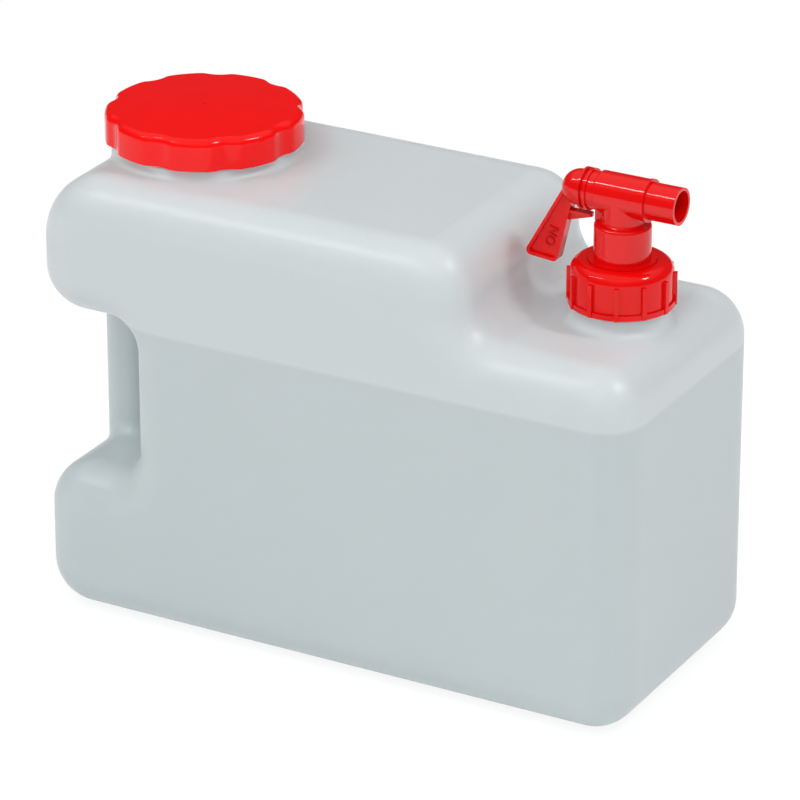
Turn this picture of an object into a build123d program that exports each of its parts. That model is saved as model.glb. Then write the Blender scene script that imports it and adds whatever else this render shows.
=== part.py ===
from build123d import *
import os

# A rectangular water canister, blow moulded in natural polyethylene, with a screw lid over
# its wide filling mouth and a lever tap screwed to a second neck on its lower shoulder.
# Millimetres. The origin is the middle of the foot print. +X runs along the long side to
# the tap end, +Y to the back and +Z up.

# Tank
body_length = 370.0
body_width = 165.0
body_height = 264.0
shelf_length = 103.0
shelf_drop = 50.0
wall = 2.0
corner_radius = 27.0
shoulder_radius = 40.0
edge_radius = 24.0
step_top_share = 0.54
step_foot_share = 0.44

# Hand grip: a notch in the end of the tank with a hollow bar across its mouth
lower_lobe = 88.0
upper_lobe = 82.5
notch_depth = 59.0
notch_radius = 16.0
bar_setback = 3.5
bar_depth = 30.0
bar_width = 40.0
bar_radius = 13.0
bar_blend = 8.0

# Filling mouth and its lid
filler_setback = 65.0
filler_neck_wall = 2.2
filler_neck_height = 20.5
filler_root_margin = 5.0
filler_root_height = 6.5
filler_root_blend = 4.0
filler_root_round = 1.2
filler_thread_room = 3.2
lid_diameter = 112.0
lid_flutes = 9
lid_flute_depth = 2.5
lid_flute_radius = 14.0
lid_flute_blend = 10.0
lid_flute_angle = -47.0
lid_skirt_wall = 2.8
lid_top_wall = 2.4
lid_edge_round = 4.5
lid_dome = 1.5
lid_dome_margin = 8.0
lid_gate_radius = 1.2
lid_gate_height = 0.4
lid_gasket_thickness = 2.0
lid_gasket_overhang = 1.3

# Tap neck and the union nut that holds the tap on it
tap_setback = 44.0
tap_neck_wall = 2.5
tap_neck_height = 27.5
tap_root_margin = 2.8
tap_root_height = 9.5
tap_root_blend = 6.0
tap_root_round = 1.2
nut_diameter = 56.4
nut_wall = 2.4
nut_thread_room = 2.6
nut_roof = 4.0
nut_inside_bevel = 2.2
nut_shoulder_round = 6.3
nut_ribs = 12
nut_rib_width = 2.6
nut_rib_stand = 1.8
nut_rib_angle = -9.0
nut_band_height = 3.0
nut_band_stand = 1.2
nut_gasket_thickness = 1.6

# Tap body: flange, collar, neck and barrel moulded in one
flange_thickness = 2.1
flange_width = 4.3
spigot_rise = 1.3
spigot_step = 3.2
collar_wall = 2.1
collar_height = 19.7
collar_round = 2.0
stem_diameter = 22.8
stem_bore = 16.0
stem_blend = 1.5
stem_rib_reach = 15.2
stem_rib_width = 7.0
barrel_height = 35.1
barrel_diameter = 23.2
barrel_bore = 18.2
barrel_back = 13.6
barrel_front = 16.6
barrel_stop = 3.6
mouth_length = 6.0
mouth_diameter = 21.2
mouth_flange = 23.2
mouth_flange_length = 1.6
barrel_bead = 0.35
barrel_bead_length = 1.4
outlet_diameter = 20.8
outlet_bore = 17.2
outlet_length = 17.8

# Valve plug with its lever, moulded in one, and its two seals
plug_bore = 11.6
plug_window = 10.0
hub_diameter = 20.0
hub_length = 6.0
hub_flange = 23.4
hub_flange_length = 1.6
hub_flange_offset = 2.7
seal_section = 1.2
seal_offset = 11.0
snap_place = 4.0
snap_width = 1.2
snap_height = 0.4
lever_thickness = 6.6
lever_web = 2.6
lever_rim = 1.8
lever_drop = 45.3
lever_reach = 58.4
lever_foot_width = 20.3
lever_foot_rise = 1.7
lever_back_rise = 2.0
lever_back_inset = 2.8
lever_front_drop = 6.7
lever_front_setback = 3.3
lever_round = 3.0
finger_drop = 13.8
finger_reach = 7.7
finger_bar = 1.6
finger_root = 6.5
finger_tip = 2.0
finger_width = 5.0
finger_web = 1.8
finger_round = 0.7

# Clearances
running_clearance = 0.06
plug_end_clearance = 0.4
face_clearance = 0.2
skirt_clearance = 0.5
spigot_clearance = 0.2
snap_clearance = 0.12

# Levels and places that follow from the sizes above
end_x = body_length / 2
side_y = body_width / 2
shelf_height = body_height - shelf_drop
step_face = end_x - shelf_length
step_top_radius = step_top_share * shelf_drop
step_foot_radius = step_foot_share * shelf_drop
notch_face = notch_depth - end_x
grip_bottom = lower_lobe
grip_top = body_height - upper_lobe
filler_x = filler_setback - end_x
tap_x = end_x - tap_setback
bar_x = bar_setback + bar_depth / 2 - end_x
filler_root_top = body_height + filler_root_height
filler_rim = body_height + filler_neck_height
lid_bottom = filler_root_top + skirt_clearance
lid_roof = filler_rim + lid_gasket_thickness
lid_top = lid_roof + lid_top_wall
lid_inside = lid_diameter / 2 - lid_flute_depth - lid_skirt_wall
filler_neck = lid_inside - filler_thread_room
filler_mouth = filler_neck - filler_neck_wall
filler_root = filler_neck + filler_root_margin
tap_root_top = shelf_height + tap_root_height
tap_rim = shelf_height + tap_neck_height
nut_inside = nut_diameter / 2 - nut_wall
tap_neck = nut_inside - nut_thread_room
tap_mouth = tap_neck - tap_neck_wall
tap_root = tap_neck + tap_root_margin
spigot_radius = tap_neck - flange_width
collar_radius = spigot_radius - spigot_step
nut_bottom = tap_root_top + skirt_clearance * 2
flange_bottom = tap_rim + nut_gasket_thickness
nut_roof_under = flange_bottom + flange_thickness
nut_top = nut_roof_under + nut_roof
spigot_top = nut_top + spigot_rise
collar_top = spigot_top + collar_height
barrel_z = spigot_top + barrel_height
barrel_start = tap_x - barrel_back
barrel_end = tap_x + barrel_front
mouth_start = barrel_start - mouth_length
outlet_end = barrel_end + outlet_length
plug_end = barrel_end - barrel_stop - plug_end_clearance
hub_end = mouth_start - face_clearance
hub_centre = hub_end - hub_length
plug_radius = barrel_bore / 2 - running_clearance


def upright(radius, low, high, x=0.0):
    """A solid cylinder on a vertical axis at x, between two levels."""
    return Pos(x, 0, (low + high) / 2) * Cylinder(radius, high - low)


def along(radius, start, end):
    """A solid cylinder on the barrel's axis, between two places along X."""
    return Pos((start + end) / 2, 0, barrel_z) * Rot(0, 90, 0) * Cylinder(radius, end - start)


def tank_block(inset):
    """The tank without necks or bar, with every face moved in by inset."""
    end = end_x - inset
    step = step_face - inset
    notch = notch_face + inset
    outer, pocket = corner_radius - inset, notch_radius + inset
    step_top, foot = step_top_radius - inset, step_foot_radius + inset
    corners = [
        (-end, inset, outer),
        (end, inset, outer),
        (end, shelf_height - inset, outer),
        (step, shelf_height - inset, foot),
        (step, body_height - inset, step_top),
        (-end, body_height - inset, shoulder_radius - inset),
        (-end, grip_top + inset, outer),
        (notch, grip_top + inset, pocket),
        (notch, grip_bottom - inset, pocket),
        (-end, grip_bottom - inset, outer),
    ]
    points = [(x, z) for x, z, radius in corners]
    radii = [radius for x, z, radius in corners]
    outline = make_face(FilletPolyline(*points, radius=radii, close=True))
    block = extrude(Plane.XZ * outline, side_y - inset, both=True)
    sides = block.faces().sort_by(Axis.Y)
    return fillet(sides[0].edges() + sides[-1].edges(), edge_radius - inset)


def grip_bar(inset):
    """The upright bar of the handle, buried in the lobes above and below it."""
    section = RectangleRounded(bar_depth - 2 * inset, bar_width - 2 * inset, bar_radius - inset)
    low, high = grip_bottom - corner_radius, grip_top + corner_radius
    return Pos(bar_x, 0, low) * extrude(section, high - low)


def within(edge, low, high):
    """Whether an edge lies wholly inside a box given by its two corners."""
    box = edge.bounding_box()
    return all(
        a - 0.1 <= b and c <= d + 0.1
        for a, b, c, d in zip(low, tuple(box.min), tuple(box.max), high)
    )


def add_root(body, x, radius, level, top, blend, top_round):
    """Raise the wide root of a neck on the body and blend its foot into the shoulder."""
    root = upright(radius, level - corner_radius, top, x)
    joined = body + fillet(root.edges().sort_by(Axis.Z)[-1], top_round)
    low = (x - radius, -radius, level - corner_radius)
    high = (x + radius, radius, level + blend / 2)
    foot = [edge for edge in joined.edges() if within(edge, low, high) and edge.length > radius / 4]
    return fillet(foot, blend)


def canister_body():
    """One blown shell: tank, handle bar and both necks, hollow with an even wall."""
    body = tank_block(0) + grip_bar(0)
    half = bar_width / 2
    left, right = bar_x - bar_depth / 2, bar_x + bar_depth / 2
    for low, high in (
        (grip_bottom - corner_radius, grip_bottom),
        (grip_top, grip_top + corner_radius),
    ):
        seam = [e for e in body.edges() if within(e, (left, -half, low), (right, half, high))]
        body = fillet(seam, bar_blend)
    for x, root, low, root_top, blend, top_round in (
        (filler_x, filler_root, body_height, filler_root_top, filler_root_blend, filler_root_round),
        (tap_x, tap_root, shelf_height, tap_root_top, tap_root_blend, tap_root_round),
    ):
        body = add_root(body, x, root, low, root_top, blend, top_round)
    body += upright(filler_neck, body_height, filler_rim, filler_x)
    body += upright(tap_neck, shelf_height, tap_rim, tap_x)
    hollow = tank_block(wall) + grip_bar(wall)
    for x, mouth, root, low, root_top, rim in (
        (filler_x, filler_mouth, filler_root, body_height, filler_root_top, filler_rim),
        (tap_x, tap_mouth, tap_root, shelf_height, tap_root_top, tap_rim),
    ):
        hollow += upright(root - wall, low - corner_radius, root_top - wall, x)
        hollow += upright(mouth, low - corner_radius, rim + wall, x)
    return body - hollow


def filler_lid():
    """Screw lid with a fluted rim, a slightly crowned top and its moulding gate mark."""
    rim = Circle(lid_diameter / 2)
    flute_centre = lid_diameter / 2 - lid_flute_depth + lid_flute_radius
    flutes = PolarLocations(flute_centre, lid_flutes, start_angle=lid_flute_angle)
    rim -= [place * Circle(lid_flute_radius) for place in flutes]
    rim = fillet(rim.vertices(), lid_flute_blend)
    lid = Pos(filler_x, 0, lid_bottom) * extrude(rim, lid_top - lid_bottom)
    lid = fillet(lid.faces().sort_by(Axis.Z)[-1].edges(), lid_edge_round)
    crown = lid_diameter / 2 - lid_dome_margin
    ball = (crown**2 + lid_dome**2) / (2 * lid_dome)
    cap = Sphere(ball) & Pos(0, 0, ball) * Box(4 * crown, 4 * crown, 2 * lid_dome)
    lid += Pos(filler_x, 0, lid_top + lid_dome - ball) * cap
    lid += upright(lid_gate_radius, lid_top, lid_top + lid_dome + lid_gate_height, filler_x)
    return lid - upright(lid_inside, lid_bottom - wall, lid_roof, filler_x)


def lid_gasket():
    """Flat ring between the filling mouth's rim and the roof of the lid."""
    inner = filler_mouth - lid_gasket_overhang
    outer = filler_neck + lid_gasket_overhang
    ring = upright(outer, filler_rim, lid_roof, filler_x)
    return ring - upright(inner, filler_rim - wall, lid_roof + wall, filler_x)


def union_nut():
    """Round-shouldered nut with a plain skirt, upright grip ribs and a band at its foot."""
    radius = nut_diameter / 2
    nut = upright(radius, nut_bottom, nut_top, tap_x)
    nut = fillet(nut.edges().sort_by(Axis.Z)[-1], nut_shoulder_round)
    rib_top = nut_top - nut_shoulder_round
    for place in PolarLocations(radius, nut_ribs, start_angle=nut_rib_angle):
        rib = Box(2 * nut_rib_stand, nut_rib_width, rib_top - nut_bottom)
        nut += Pos(tap_x, 0, (rib_top + nut_bottom) / 2) * place * rib
    nut += upright(radius + nut_band_stand, nut_bottom, nut_bottom + nut_band_height, tap_x)
    cavity = upright(nut_inside, nut_bottom - wall, nut_roof_under, tap_x)
    nut -= chamfer(cavity.edges().filter_by(GeomType.CIRCLE).sort_by(Axis.Z)[-1], nut_inside_bevel)
    hole = spigot_radius + spigot_clearance
    return nut - upright(hole, nut_bottom, nut_top + wall, tap_x)


def nut_gasket():
    """Flat ring between the tap neck's rim and the flange of the tap."""
    ring = upright(tap_neck, tap_rim, flange_bottom, tap_x)
    return ring - upright(tap_mouth, tap_rim - wall, flange_bottom + wall, tap_x)


def tap_body():
    """Flange, collar, stem with its back rib, and cross barrel of the tap, with the water way."""
    tap = upright(tap_neck, flange_bottom, nut_roof_under, tap_x)
    tap += upright(spigot_radius, flange_bottom, spigot_top, tap_x)
    collar = upright(collar_radius, flange_bottom, collar_top, tap_x)
    tap += fillet(collar.edges().sort_by(Axis.Z)[-1], collar_round)
    tap += upright(stem_diameter / 2, collar_top - wall, barrel_z, tap_x)
    foot = tap.edges().filter_by_position(Axis.Z, collar_top - 0.1, collar_top + 0.1)
    tap = fillet(foot.sort_by(SortBy.RADIUS)[0], stem_blend)
    rib = Box(stem_rib_reach, stem_rib_width, barrel_z - collar_top + collar_round)
    tap += Pos(tap_x - stem_rib_reach / 2, 0, (barrel_z + collar_top - collar_round) / 2) * rib
    barrel = along(barrel_diameter / 2, barrel_start, barrel_end)
    tap += fillet(barrel.edges().sort_by(Axis.X)[0], collar_round / 2)
    bead = barrel_diameter / 2 + barrel_bead
    tap += along(bead, barrel_end - barrel_bead_length, barrel_end)
    tap += along(mouth_diameter / 2, mouth_start, barrel_start + wall)
    tap += along(mouth_flange / 2, mouth_start, mouth_start + mouth_flange_length)
    tap += along(outlet_diameter / 2, barrel_end - wall, outlet_end)
    collar_inside = collar_radius - collar_wall
    tap -= upright(collar_inside, flange_bottom - wall, collar_top - collar_wall, tap_x)
    tap -= upright(stem_bore / 2, flange_bottom, barrel_z, tap_x)
    tap -= along(barrel_bore / 2, mouth_start - wall, barrel_end - barrel_stop)
    tap -= snap_ring(barrel_bore / 2 + snap_height, snap_clearance)
    return tap - along(outlet_bore / 2, barrel_start, outlet_end + wall)


def snap_ring(radius, margin):
    """The ring of the plug that snaps into the barrel's groove, made larger by margin."""
    start = mouth_start + snap_place
    return along(radius + margin / 2, start - margin, start + snap_width + margin)


def lever_outline(margin):
    """The lever seen from the front, its edges moved in by margin."""
    left = tap_x - lever_reach
    foot = barrel_z - lever_drop
    back = hub_centre - hub_diameter / 2 + lever_back_inset
    points = [
        (left, foot + lever_foot_rise),
        (left + lever_foot_width, foot),
        (hub_centre - lever_front_setback, barrel_z - lever_front_drop),
        (hub_centre, barrel_z),
        (back, barrel_z + lever_back_rise),
    ]
    face = make_face(Polyline(*points, close=True))
    face = fillet(face.vertices().sort_by(Axis.Y)[:2], lever_round)
    return offset(face, -margin) if margin else face


def valve_plug():
    """Hollow plug with a side window, its domed hub, the tray-shaped lever and stop finger."""
    hub = Pos(hub_centre, 0, barrel_z) * Sphere(hub_diameter / 2)
    hub -= along(hub_diameter, hub_centre, hub_centre + hub_diameter)
    hub += along(hub_diameter / 2, hub_centre, hub_end)
    flange = hub_centre + hub_flange_offset
    hub += along(hub_flange / 2, flange, flange + hub_flange_length)
    lever = extrude(Plane.XZ * lever_outline(0), lever_thickness / 2, both=True)
    tray = extrude(Plane.XZ * lever_outline(lever_rim), lever_thickness, both=True)
    web = Box(4 * lever_reach, lever_web, 4 * lever_drop)
    lever -= tray - Pos(hub_centre, 0, barrel_z) * web
    plug = hub + lever + stop_finger()
    plug += along(plug_radius, hub_end - wall, plug_end)
    plug += snap_ring(barrel_bore / 2 + snap_height, -snap_clearance)
    plug -= along(plug_bore / 2, hub_end, plug_end + wall)
    for place in seal_places():
        groove = along(plug_radius + wall, place - seal_section, place + seal_section)
        plug -= groove - along(plug_radius - 2 * seal_section, hub_end, plug_end)
    window = Pos(tap_x, plug_radius, barrel_z) * Rot(90, 0, 0)
    return plug - window * Cylinder(plug_window / 2, 2 * (plug_radius - plug_bore / 4))


def stop_finger():
    """The finger under the hub: a flat bar with a tapering web below it."""
    start = hub_centre - lever_front_setback - 2 * lever_rim
    tip = hub_centre + finger_reach
    top = barrel_z - finger_drop
    web = make_face(
        Polyline((start, top), (tip, top), (tip, top - finger_tip), (start, top - finger_root), close=True)
    )
    bar = Pos((start + tip) / 2, 0, top - finger_bar / 2) * Box(tip - start, finger_width, finger_bar)
    bar = fillet(bar.edges().filter_by(Axis.Z).sort_by(Axis.X)[-2:], finger_width / 2 - finger_round)
    return bar + extrude(Plane.XZ * web, finger_web / 2, both=True)


def seal_places():
    """Where the two plug seals sit, either side of the window."""
    return (tap_x - seal_offset, tap_x + seal_offset)


def plug_seal(place):
    """One rubber ring of round section in its groove on the plug."""
    ring = Torus(plug_radius - seal_section, seal_section)
    return Pos(place, 0, barrel_z) * Rot(0, 90, 0) * ring


parts = {
    "canister_body": canister_body(),
    "filler_lid": filler_lid(),
    "lid_gasket": lid_gasket(),
    "union_nut": union_nut(),
    "nut_gasket": nut_gasket(),
    "tap_body": tap_body(),
    "valve_plug": valve_plug(),
}
for number, place in enumerate(seal_places(), start=1):
    parts[f"plug_seal_{number}"] = plug_seal(place)

os.makedirs("parts", exist_ok=True)
for name, solid in parts.items():
    export_step(solid, f"parts/{name}.step")
    print(name, round(solid.volume))
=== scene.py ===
import bpy
from math import cos, pi, radians, sin
from mathutils import Matrix, Vector


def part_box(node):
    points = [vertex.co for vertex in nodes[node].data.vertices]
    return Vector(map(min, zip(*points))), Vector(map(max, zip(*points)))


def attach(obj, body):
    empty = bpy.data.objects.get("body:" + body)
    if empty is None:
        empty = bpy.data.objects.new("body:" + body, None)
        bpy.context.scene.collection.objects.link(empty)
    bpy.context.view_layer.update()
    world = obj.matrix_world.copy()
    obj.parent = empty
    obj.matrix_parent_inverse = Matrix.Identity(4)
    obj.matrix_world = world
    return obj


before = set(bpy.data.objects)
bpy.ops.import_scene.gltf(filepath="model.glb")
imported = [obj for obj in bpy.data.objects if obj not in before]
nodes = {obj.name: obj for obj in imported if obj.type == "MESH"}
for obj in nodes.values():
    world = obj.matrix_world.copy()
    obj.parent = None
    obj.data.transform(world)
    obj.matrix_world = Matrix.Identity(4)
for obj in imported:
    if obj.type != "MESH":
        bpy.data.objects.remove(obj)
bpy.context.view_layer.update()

# Tank: one blow-moulded shell of natural polyethylene, with the handle bar and both necks.
# The plastic is milky and faintly blue. Up to the fill line the water behind the wall makes
# it a shade darker, and a slow unevenness of the wall shows all over.
MM = 0.001
FILL_LINE = 183.6 * MM
LINE_SHARPNESS = 400.0
DRY_PLASTIC = (0.655, 0.742, 0.765, 1.0)
WET_PLASTIC = (0.560, 0.647, 0.662, 1.0)
THIN_WALL = (0.76, 0.83, 0.84, 1.0)


class Wire:
    """One output of a node. Arithmetic on it adds Math nodes."""

    def __init__(self, paint, socket):
        self.paint = paint
        self.socket = socket

    def math(self, operation, first, second):
        values = {0: first, 1: second}
        return self.paint.add("ShaderNodeMath", {"operation": operation}, values)["Value"]

    def __add__(self, other):
        return self.math("ADD", self, other)

    def __radd__(self, other):
        return self.math("ADD", other, self)

    def __sub__(self, other):
        return self.math("SUBTRACT", self, other)

    def __rsub__(self, other):
        return self.math("SUBTRACT", other, self)

    def __mul__(self, other):
        return self.math("MULTIPLY", self, other)

    def __rmul__(self, other):
        return self.math("MULTIPLY", other, self)


class Outputs:
    """The outputs of a node, taken by name or number."""

    def __init__(self, paint, node):
        self.paint = paint
        self.node = node

    def __getitem__(self, key):
        return Wire(self.paint, self.node.outputs[key])


class Paint:
    """A material or a world under construction. Every node in it comes from add."""

    def __init__(self, owner):
        self.owner = owner
        owner.use_nodes = True
        self.tree = owner.node_tree
        self.tree.nodes.clear()

    def add(self, kind, settings=None, values=None):
        """Add a node: its settings first, then a value or a link for each socket named."""
        node = self.tree.nodes.new(kind)
        for key, value in (settings or {}).items():
            if key == "stops":
                for stop, (position, colour) in zip(node.color_ramp.elements, value):
                    stop.position = position
                    stop.color = colour
            else:
                setattr(node, key, value)
        for key, value in (values or {}).items():
            if isinstance(value, Wire):
                self.tree.links.new(value.socket, node.inputs[key])
            else:
                node.inputs[key].default_value = value
        return Outputs(self, node)

    def place(self):
        """The place on the object, in metres."""
        return self.add("ShaderNodeTexCoord")["Object"]

    def noise(self, where, scale, detail=2.0):
        """A soft pattern from 0 to 1, finer with a larger scale."""
        values = {"Vector": where, "Scale": scale, "Detail": detail}
        return self.add("ShaderNodeTexNoise", None, values)["Fac"]

    def mix(self, factor, first, second):
        """Blend two colours. Their sockets go by number, because several share one name."""
        values = {0: factor, 6: first, 7: second}
        return self.add("ShaderNodeMix", {"data_type": "RGBA"}, values)[2]

    def bump(self, height, strength, distance):
        """A surface that looks raised by up to the distance where the height is 1."""
        values = {"Height": height, "Strength": strength, "Distance": distance}
        return self.add("ShaderNodeBump", None, values)["Normal"]

    def finish(self, surface):
        """Join the surface to an output, and hand back the material or the world."""
        kind = "World" if isinstance(self.owner, bpy.types.World) else "Material"
        self.add(f"ShaderNodeOutput{kind}", None, {"Surface": surface})
        return self.owner


def material(name):
    """Start a new material."""
    return Paint(bpy.data.materials.new(name))


def dress(piece, finish):
    """Give a piece one material all over."""
    piece.data.materials.clear()
    piece.data.materials.append(finish)


tank = material("milky_polyethylene")
place = tank.place()
height = tank.add("ShaderNodeSeparateXYZ", None, {"Vector": place})["Z"]
depth = (FILL_LINE - height) * LINE_SHARPNESS + 0.5
wet = tank.add("ShaderNodeClamp", None, {"Value": depth})["Result"]
shade = tank.mix(wet, DRY_PLASTIC, WET_PLASTIC)
clouds = tank.noise(place, scale=14.0, detail=3.0)
ripple = tank.noise(place, scale=90.0)
tank_shader = tank.add(
    "ShaderNodeBsdfPrincipled",
    None,
    {
        "Base Color": tank.mix(clouds * 0.10, shade, THIN_WALL),
        "Roughness": 0.32 + clouds * 0.08,
        "Normal": tank.bump(clouds * 0.6 + ripple * 0.1, strength=0.06, distance=2.0 * MM),
        "IOR": 1.50,
        "Specular IOR Level": 0.5,
        "Subsurface Weight": 0.6,
        "Subsurface Scale": 12.0 * MM,
        "Subsurface Radius": (0.95, 1.0, 1.0),
    },
)
milky_plastic = tank.finish(tank_shader["BSDF"])
dress(nodes["canister_body"], milky_plastic)

# Neck threads: a raised helix of the tank's own plastic is blown on each neck. The filling
# mouth has a coarse one of not quite a turn and a half, the tap neck a finer one of three
# turns. Their ends run out into the wall, as a blown thread's do.
FILLER_NECK = 47.5 * MM
FILLER_RIDGE = 2.2 * MM
FILLER_PITCH = 6.0 * MM
FILLER_TURNS = 1.4
FILLER_START = 273.8 * MM
TAP_NECK = 23.2 * MM
TAP_RIDGE = 1.6 * MM
TAP_PITCH = 4.0 * MM
TAP_TURNS = 3.0
TAP_START = 227.0 * MM
EMBED = 0.3 * MM
FOOT_OF_PITCH = 0.45
CREST_OF_FOOT = 0.45
RUN_OUT = (0.02, 0.02, 0.3)
STEPS_PER_TURN = 64
SMOOTH_BELOW = radians(35.0)
NEAR = 0.05 * MM


def centre_of(node):
    """The upright axis of a round node, as a place on the floor."""
    low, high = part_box(node)
    return Vector(((low[0] + high[0]) / 2, (low[1] + high[1]) / 2, 0.0))


def pick(piece, wanted):
    """Open the piece in edit mode with only the wanted corners selected."""
    bpy.ops.object.mode_set(mode="EDIT")
    bpy.ops.mesh.select_mode(type="VERT")
    bpy.ops.mesh.select_all(action="DESELECT")
    bpy.ops.object.mode_set(mode="OBJECT")
    for corner in piece.data.vertices:
        corner.select = wanted(corner.co)
    bpy.ops.object.mode_set(mode="EDIT")


def thread(name, axis, radius, ridge, pitch, turns, start, turned=0.0):
    """A right-hand ridge, outwards from the radius or, where the ridge is negative, inwards."""
    # The section stands across the wall and is sunk a little into it.
    bpy.ops.object.select_all(action="DESELECT")
    embed = EMBED if ridge > 0 else -EMBED
    root = radius - embed
    crest = radius + ridge
    bpy.ops.mesh.primitive_plane_add(
        size=1.0, location=((root + crest) / 2, 0.0, start), rotation=(pi / 2, 0.0, 0.0)
    )
    piece = bpy.context.object
    piece.name = name
    piece.scale = (abs(crest - root), pitch * FOOT_OF_PITCH, 1.0)
    bpy.ops.object.transform_apply(location=True, rotation=True, scale=True)

    # It narrows from its foot to its crest, and climbs a pitch in each turn.
    narrower = (1.0, 1.0, CREST_OF_FOOT)
    pick(piece, lambda corner: abs(corner.x - crest) < NEAR)
    bpy.ops.transform.resize(value=narrower, center_override=(crest, 0.0, start))
    bpy.ops.object.mode_set(mode="OBJECT")
    helix = piece.modifiers.new("helix", "SCREW")
    helix.angle = 2 * pi * turns
    helix.screw_offset = pitch * turns
    helix.steps = round(STEPS_PER_TURN * turns)
    helix.render_steps = helix.steps
    bpy.ops.object.modifier_apply(modifier="helix")

    # Both ends shrink into the wall. The reach takes in a whole end and no other turn.
    reach = abs(ridge) + pitch / 3
    for angle, level in ((0.0, start), (2 * pi * turns, start + pitch * turns)):
        foot = Vector((root * cos(angle), root * sin(angle), level))

        def at_end(corner):
            aside = abs(corner.x * sin(angle) - corner.y * cos(angle))
            return (corner - foot).length < reach and aside < NEAR

        pick(piece, at_end)
        bpy.ops.transform.resize(value=RUN_OUT, center_override=tuple(foot))
        bpy.ops.object.mode_set(mode="OBJECT")

    bpy.ops.object.mode_set(mode="EDIT")
    bpy.ops.mesh.select_all(action="SELECT")
    bpy.ops.mesh.fill_holes(sides=8)
    bpy.ops.mesh.normals_make_consistent(inside=False)
    bpy.ops.transform.rotate(value=turned, orient_axis="Z", center_override=(0.0, 0.0, 0.0))
    bpy.ops.object.mode_set(mode="OBJECT")
    piece.location = axis
    bpy.ops.object.transform_apply(location=True, rotation=True, scale=True)
    bpy.ops.object.shade_smooth_by_angle(angle=SMOOTH_BELOW)
    return piece


filler_neck_thread = thread(
    "filler_neck_thread",
    centre_of("lid_gasket"),
    radius=FILLER_NECK,
    ridge=FILLER_RIDGE,
    pitch=FILLER_PITCH,
    turns=FILLER_TURNS,
    start=FILLER_START,
)
tap_neck_thread = thread(
    "tap_neck_thread",
    centre_of("nut_gasket"),
    radius=TAP_NECK,
    ridge=TAP_RIDGE,
    pitch=TAP_PITCH,
    turns=TAP_TURNS,
    start=TAP_START,
)
for ridge_piece in (filler_neck_thread, tap_neck_thread):
    dress(ridge_piece, milky_plastic)
    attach(ridge_piece, "tank")

# Lid: injection moulded in bright red plastic with a high gloss, with a thread in its skirt.
# The melt runs out from the gate mark in the middle and leaves faint flow marks all round.
LID_RED = (0.930, 0.004, 0.004, 1.0)
LID_DEEP_RED = (0.790, 0.002, 0.002, 1.0)
LID_INSIDE = 50.7 * MM
LID_TURNS = 1.3


def red_moulding(name, red, deep_red, stretch, shine):
    """Glossy red plastic, with flow marks drawn out in the direction of a small stretch."""
    moulding = material(name)
    place = moulding.place()
    mapping = moulding.add("ShaderNodeMapping", None, {"Vector": place, "Scale": stretch})
    flow = moulding.noise(mapping["Vector"], scale=55.0)
    peel = moulding.noise(place, scale=900.0)
    shader = moulding.add(
        "ShaderNodeBsdfPrincipled",
        None,
        {
            "Base Color": moulding.mix(flow * 0.5, red, deep_red),
            "Roughness": 0.06 + flow * 0.06,
            "Normal": moulding.bump(flow + peel * 0.2, strength=0.05, distance=0.4 * MM),
            "IOR": 1.52,
            "Specular IOR Level": shine,
        },
    )
    return moulding.finish(shader["BSDF"])


lid_plastic = red_moulding(
    "red_lid_plastic", LID_RED, LID_DEEP_RED, stretch=(1.0, 1.0, 0.4), shine=0.30
)
lid_thread = thread(
    "lid_thread",
    centre_of("lid_gasket"),
    radius=LID_INSIDE,
    ridge=-FILLER_RIDGE,
    pitch=FILLER_PITCH,
    turns=LID_TURNS,
    start=FILLER_START,
    turned=pi,
)
for piece in (nodes["filler_lid"], lid_thread):
    dress(piece, lid_plastic)
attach(lid_thread, "lid")

# Union nut: a deeper red plastic than the lid's, with upright grip ribs, and a fine thread
# inside that holds the tap down on its neck. The melt rises from the foot band, so its marks
# run upwards between the ribs.
TAP_RED = (0.780, 0.003, 0.003, 1.0)
TAP_DEEP_RED = (0.620, 0.001, 0.001, 1.0)
NUT_INSIDE = 25.8 * MM
NUT_RIDGE = 1.5 * MM

nut_plastic = red_moulding(
    "red_nut_plastic", TAP_RED, TAP_DEEP_RED, stretch=(1.0, 1.0, 0.3), shine=0.30
)
nut_thread = thread(
    "nut_thread",
    centre_of("nut_gasket"),
    radius=NUT_INSIDE,
    ridge=-NUT_RIDGE,
    pitch=TAP_PITCH,
    turns=TAP_TURNS,
    start=TAP_START,
    turned=pi,
)
for piece in (nodes["union_nut"], nut_thread):
    dress(piece, nut_plastic)
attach(nut_thread, "nut")

# Tap body: flange, collar, stem and cross barrel moulded in one piece of the nut's plastic.
# Its marks follow the barrel, along which the core pin is drawn.
tap_plastic = red_moulding(
    "red_tap_plastic", TAP_RED, TAP_DEEP_RED, stretch=(0.3, 1.0, 1.0), shine=0.45
)
dress(nodes["tap_body"], tap_plastic)

# Valve plug: hollow plug, domed hub, lever and stop finger, moulded in one piece of the tap's
# plastic that snaps into the barrel. ON stands raised on the front of the lever's tray and OFF
# on the back, to be read with the lever on its side. Their red is painted shade: darker than
# the lever's.
LETTER_HEIGHT = 5.3 * MM
LETTER_STAND = 0.7 * MM
LETTER_CENTRE = Vector((99.2, 0.0, 254.2)) * MM
LETTER_TILT = radians(17.5)
LETTER_SPACING = 1.06
# The letters' two reds are painted shade, darker than the lever's red.
LETTER_PAINTED_SHADE_RED = (0.560, 0.002, 0.002, 1.0)
LETTER_PAINTED_SHADE_DEEP_RED = (0.480, 0.001, 0.001, 1.0)
CAPITAL_OF_FONT_SIZE = 0.69
TRAY_FLOOR = 1.3 * MM
LEVER_STRETCH = (0.5, 1.0, 0.35)

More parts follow.
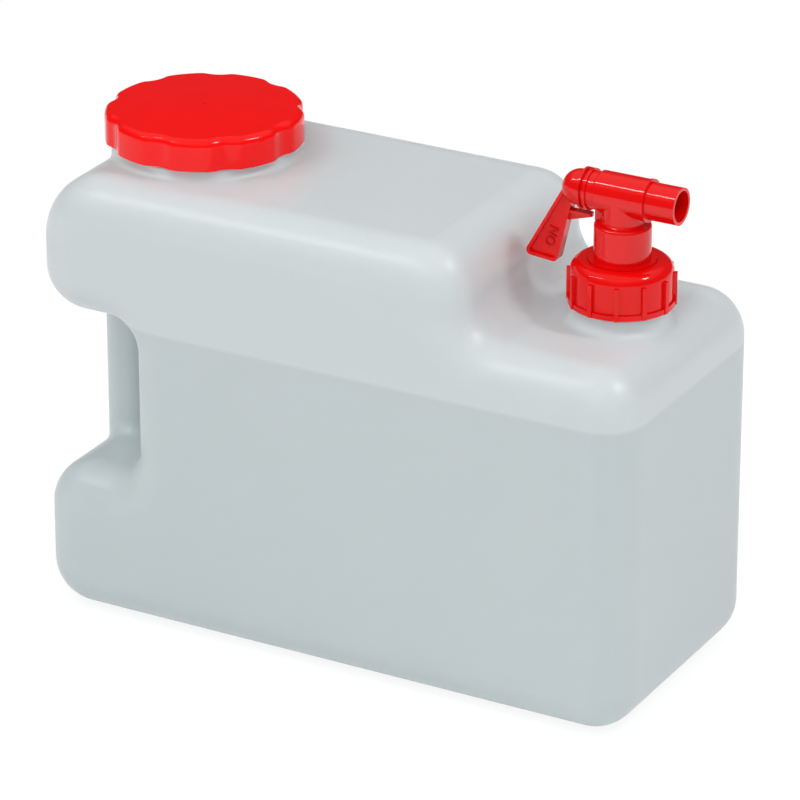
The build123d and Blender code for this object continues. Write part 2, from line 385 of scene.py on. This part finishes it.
lever_plastic = red_moulding(
    "red_lever_plastic", TAP_RED, TAP_DEEP_RED, stretch=LEVER_STRETCH, shine=0.45
)
dress(nodes["valve_plug"], lever_plastic)
# The words get the darker reds as painted shade for their shaded sides.
letter_painted_shade_plastic = red_moulding(
    "red_letter_painted_shade_plastic", LETTER_PAINTED_SHADE_RED, LETTER_PAINTED_SHADE_DEEP_RED, stretch=LEVER_STRETCH, shine=0.25
)
for word, side in (("ON", -1.0), ("OFF", 1.0)):
    # The font gives flat words of this height, with rounded edges and sunk by half their stand.
    bpy.ops.object.select_all(action="DESELECT")
    bpy.ops.object.text_add()
    letters = bpy.context.object
    letters.name = f"lever_word_{word.lower()}"
    letters.data.body = word
    letters.data.align_x = "CENTER"
    letters.data.align_y = "CENTER"
    letters.data.size = LETTER_HEIGHT / CAPITAL_OF_FONT_SIZE
    letters.data.space_character = LETTER_SPACING
    letters.data.extrude = LETTER_STAND / 2
    letters.data.bevel_depth = LETTER_STAND / 4
    letters.data.resolution_u = 6
    bpy.ops.object.convert(target="MESH")
    bpy.ops.object.mode_set(mode="EDIT")
    bpy.ops.mesh.select_all(action="SELECT")
    bpy.ops.mesh.remove_doubles(threshold=0.001 * MM)
    bpy.ops.mesh.normals_make_consistent(inside=False)
    bpy.ops.object.mode_set(mode="OBJECT")

    # They run along the tilted lever and face away from it.
    reading = Vector((sin(LETTER_TILT), 0.0, cos(LETTER_TILT))) * -side
    upwards = Vector((-cos(LETTER_TILT), 0.0, sin(LETTER_TILT)))
    outwards = Vector((0.0, side, 0.0))
    turn = Matrix((reading, upwards, outwards)).transposed().to_4x4()
    middle = LETTER_CENTRE + outwards * (TRAY_FLOOR + LETTER_STAND / 4)
    letters.matrix_world = Matrix.Translation(middle) @ turn
    bpy.ops.object.transform_apply(location=True, rotation=True, scale=True)
    dress(letters, letter_painted_shade_plastic)
    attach(letters, "valve")

# Gaskets and plug seals: a pale soft ring under the lid and one under the tap's flange, and
# two black rubber O-rings in the plug's grooves. They are out of sight until the caps and the
# plug come off.
PALE_RUBBER = (0.74, 0.73, 0.70, 1.0)
BLACK_RUBBER = (0.025, 0.025, 0.026, 1.0)
DULL_SHARE = 0.8

for name, colour, roughness in (
    ("lid_gasket", PALE_RUBBER, 0.55),
    ("nut_gasket", PALE_RUBBER, 0.55),
    ("plug_seal_1", BLACK_RUBBER, 0.42),
    ("plug_seal_2", BLACK_RUBBER, 0.42),
):
    rubber = material(f"{name}_rubber")
    grain = rubber.noise(rubber.place(), scale=1500.0)
    dull = tuple(channel * DULL_SHARE for channel in colour[:3]) + (1.0,)
    rubber_shader = rubber.add(
        "ShaderNodeBsdfPrincipled",
        None,
        {
            "Base Color": rubber.mix(grain, colour, dull),
            "Roughness": roughness + grain * 0.1,
            "Normal": rubber.bump(grain, strength=0.2, distance=0.1 * MM),
        },
    )
    dress(nodes[name], rubber.finish(rubber_shader["BSDF"]))

# Floor: a plain matt white table. To the camera and in reflections it glows white, and it
# keeps part of the object's soft shadow.
WHITE = (1.0, 1.0, 1.0, 1.0)
TABLE_WHITE = (0.90, 0.90, 0.90, 1.0)
TABLE_SIZE = 16.0
GLOW = 1.06
GLOW_SHARE = 0.82

bpy.ops.object.select_all(action="DESELECT")
bpy.ops.mesh.primitive_plane_add(size=TABLE_SIZE, location=(0.0, 0.0, 0.0))
floor = bpy.context.object
floor.name = "floor"
table = material("white_table")
ray = table.add("ShaderNodeLightPath")
unseen = (1 - ray["Is Camera Ray"]) * (1 - ray["Is Glossy Ray"])
unseen = unseen * (1 - ray["Is Transmission Ray"])
share = (1 - unseen) * GLOW_SHARE
matt = table.add("ShaderNodeBsdfDiffuse", None, {"Color": TABLE_WHITE})
glow = table.add("ShaderNodeEmission", None, {"Color": WHITE, "Strength": GLOW})
layers = {0: share, 1: matt["BSDF"], 2: glow["Emission"]}
blend = table.add("ShaderNodeMixShader", None, layers)
dress(floor, table.finish(blend["Shader"]))

# Studio: even light from all round, white behind the object. In reflections the sky darkens
# towards the horizon, a long strip and a small lamp gleam, and two soft fills stay unseen.
SKY_LEVEL = 0.62
DARK_HORIZON = (0.12, 0.12, 0.12, 1.0)
LIGHT_TARGET = Vector((0.0, 0.0, 0.15))
UP = Vector((0.0, 0.0, 1.0))
ALONG_TANK = Vector((1.0, 0.0, 0.0))

studio = Paint(bpy.data.worlds.new("studio"))
bpy.context.scene.world = studio.owner
direction = studio.add("ShaderNodeTexCoord")["Generated"]
rise = studio.add("ShaderNodeSeparateXYZ", None, {"Vector": direction})["Z"]
horizon_to_top = ((0.50, DARK_HORIZON), (0.80, WHITE))
ramp = studio.add("ShaderNodeValToRGB", {"stops": horizon_to_top}, {"Fac": rise})
ray = studio.add("ShaderNodeLightPath")
background = studio.add(
    "ShaderNodeBackground",
    None,
    {
        "Color": studio.mix(ray["Is Glossy Ray"], WHITE, ramp["Color"]),
        "Strength": SKY_LEVEL + ray["Is Camera Ray"] * (1.0 - SKY_LEVEL),
    },
)
studio.finish(background["Background"])

# Each lamp has its place and size in metres and its power in watts.
for name, where, long, high, power, mirrored in (
    ("strip_light", (-0.96, -0.94, 1.99), 1.2, 0.07, 9.0, True),
    ("small_light", (1.25, 0.26, 1.78), 0.30, 0.30, 9.0, True),
    ("front_fill", (0.4, -2.5, 0.55), 1.5, 1.5, 7.5, False),
    ("top_fill", (0.6, -1.4, 2.0), 1.2, 1.2, 12.0, False),
):
    lamp = bpy.data.lights.new(name, "AREA")
    lamp.shape = "RECTANGLE"
    lamp.size = long
    lamp.size_y = high
    lamp.energy = power
    box = bpy.data.objects.new(name, lamp)
    bpy.context.scene.collection.objects.link(box)
    box.location = where
    box.visible_glossy = mirrored
    towards = LIGHT_TARGET - Vector(where)
    across = ALONG_TANK if name == "strip_light" else towards.cross(UP)
    across = (across - towards * across.dot(towards) / towards.length_squared).normalized()
    back = -towards.normalized()
    box.rotation_euler = Matrix((across, back.cross(across), back)).transposed().to_euler()

# Camera: a long lens on the side and at the height from which the photograph was taken, with
# no roll.
FOCAL_LENGTH = 225.0
SENSOR_WIDTH = 36.0
YAW = radians(29.0)
PITCH = radians(24.1)
DISTANCE = 2.793
AIM = Vector((0.0044, 0.0, 0.1361))

lens = bpy.data.cameras.new("photo_camera")
lens.sensor_width = SENSOR_WIDTH
lens.lens = FOCAL_LENGTH
camera = bpy.data.objects.new("photo_camera", lens)
bpy.context.scene.collection.objects.link(camera)
look = Vector((-sin(YAW) * cos(PITCH), cos(YAW) * cos(PITCH), -sin(PITCH)))
camera.location = AIM - look * DISTANCE
camera.rotation_euler = (pi / 2 - PITCH, 0.0, YAW)
bpy.context.scene.camera = camera

bpy.context.scene.view_settings.view_transform = "Standard"
